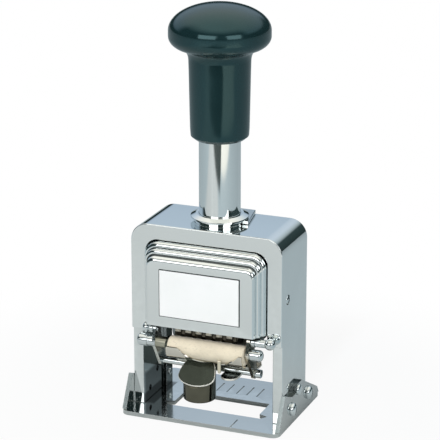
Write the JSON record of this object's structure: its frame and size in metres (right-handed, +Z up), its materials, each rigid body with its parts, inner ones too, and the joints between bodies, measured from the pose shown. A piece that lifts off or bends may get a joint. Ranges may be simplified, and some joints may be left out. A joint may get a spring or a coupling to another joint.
{
  "type": "numbering machine",
  "caption": "Desk numbering machine: chromed arch on a base plate, sprung plunger with a palm knob, number wheels and an inking pad that swings clear.",
  "frame": {"origin": "plunger axis on the underside of the base plate", "axes": "+Z up along the plunger, front (label and pad) towards -Y, +X to the user's right"},
  "size_m": [0.0686, 0.0518, 0.1615],
  "materials": {
    "chrome": "mirror-bright chrome plate",
    "bright_steel": "bright plated steel",
    "screw_steel": "plated steel",
    "plain_steel": "plain steel",
    "wheel_steel": "inked dark steel",
    "knob_plastic": "glossy dark green-black",
    "dark_plastic": "dark satin",
    "label_white": "blank white plate",
    "felt_cream": "cream felt",
    "sleeve_tan": "dull olive metal",
    "brass": "bright brass",
    "rubber_black": "black rubber"
  },
  "bodies": {
    "frame": {"frame": "chrome", "base_plate": "bright_steel", "front_cover": "chrome", "label_plate": "label_white", "back_cover": "chrome", "guide_bush": "chrome", "cover_screws": "screw_steel", "ear_screws": "screw_steel", "ear_rivets": "screw_steel", "bump_ring": "rubber_black", "spring_bridge": "plain_steel", "bridge_screws": "screw_steel", "left_rail": "bright_steel", "right_rail": "bright_steel", "rail_screws": "screw_steel", "return_spring": "plain_steel"},
    "latch": {"stop_latch": "bright_steel"},
    "carriage": {"knob": "knob_plastic", "plunger_tube": "bright_steel", "tube_plug": "plain_steel", "knob_stud": "screw_steel", "crosshead": "plain_steel", "crosshead_screws": "screw_steel", "wheel_case_left": "plain_steel", "wheel_case_right": "plain_steel", "case_spacer": "screw_steel", "wheel_shaft": "screw_steel", "shaft_clips": "screw_steel", "pad_arm_left": "plain_steel", "pad_arm_right": "plain_steel", "arm_screws": "screw_steel", "pad_pivot_left": "screw_steel", "pad_pivot_right": "screw_steel", "detent_rod": "plain_steel", "detent_fingers": "plain_steel"},
    "pad_carrier": {"pad_cheek_left": "plain_steel", "pad_cheek_right": "plain_steel", "pad_bar": "screw_steel", "pad_sleeve": "sleeve_tan", "pad_ring": "dark_plastic", "pad_end_cap": "screw_steel", "pad_tray": "chrome", "felt_pad": "felt_cream", "pad_rod": "screw_steel", "thumb_tab": "dark_plastic", "pull_knob": "dark_plastic", "pad_clip": "brass", "release_tongue": "dark_plastic"},
    "pawl_frame": {"pawl_lever_left": "plain_steel", "pawl_lever_right": "plain_steel", "pawl_comb": "plain_steel"},
    "number_wheel_1": {"wheel_1": "wheel_steel"},
    "number_wheel_2": {"wheel_2": "wheel_steel"},
    "number_wheel_3": {"wheel_3": "wheel_steel"},
    "number_wheel_4": {"wheel_4": "wheel_steel"},
    "number_wheel_5": {"wheel_5": "wheel_steel"},
    "number_wheel_6": {"wheel_6": "wheel_steel"}
  },
  "joints": [
    {"name": "plunger", "type": "slide", "parent": "frame", "child": "carriage", "axis": [0, 0, -1], "range_m": [0, 0.0228], "stiffness_N_per_m": 250, "springref_m": -0.03, "deforming": ["return_spring"]},
    {"name": "pad_swing", "type": "hinge", "parent": "carriage", "child": "pad_carrier", "pos_m": [0, -0.0173, 0.0358], "axis": [1, 0, 0], "range_deg": [-125, 0]},
    {"name": "pawl_swing", "type": "hinge", "parent": "carriage", "child": "pawl_frame", "pos_m": [0, -0.0034, 0.033], "axis": [1, 0, 0], "range_deg": [0, 38]},
    {"name": "latch_slide", "type": "slide", "parent": "frame", "child": "latch", "axis": [0, 1, 0], "range_m": [-0.002, 0]},
    {"name": "wheel_1_turn", "type": "hinge", "parent": "carriage", "child": "number_wheel_1", "pos_m": [0, -0.0034, 0.033], "axis": [1, 0, 0], "continuous": true},
    {"name": "wheel_2_turn", "type": "hinge", "parent": "carriage", "child": "number_wheel_2", "pos_m": [0, -0.0034, 0.033], "axis": [1, 0, 0], "continuous": true},
    {"name": "wheel_3_turn", "type": "hinge", "parent": "carriage", "child": "number_wheel_3", "pos_m": [0, -0.0034, 0.033], "axis": [1, 0, 0], "continuous": true},
    {"name": "wheel_4_turn", "type": "hinge", "parent": "carriage", "child": "number_wheel_4", "pos_m": [0, -0.0034, 0.033], "axis": [1, 0, 0], "continuous": true},
    {"name": "wheel_5_turn", "type": "hinge", "parent": "carriage", "child": "number_wheel_5", "pos_m": [0, -0.0034, 0.033], "axis": [1, 0, 0], "continuous": true},
    {"name": "wheel_6_turn", "type": "hinge", "parent": "carriage", "child": "number_wheel_6", "pos_m": [0, -0.0034, 0.033], "axis": [1, 0, 0], "continuous": true}
  ],
  "couplings": [
    {"joint": "pad_swing", "follows": "plunger", "rad_per_m": -95.6},
    {"joint": "pawl_swing", "follows": "plunger", "rad_per_m": 29}
  ]
}
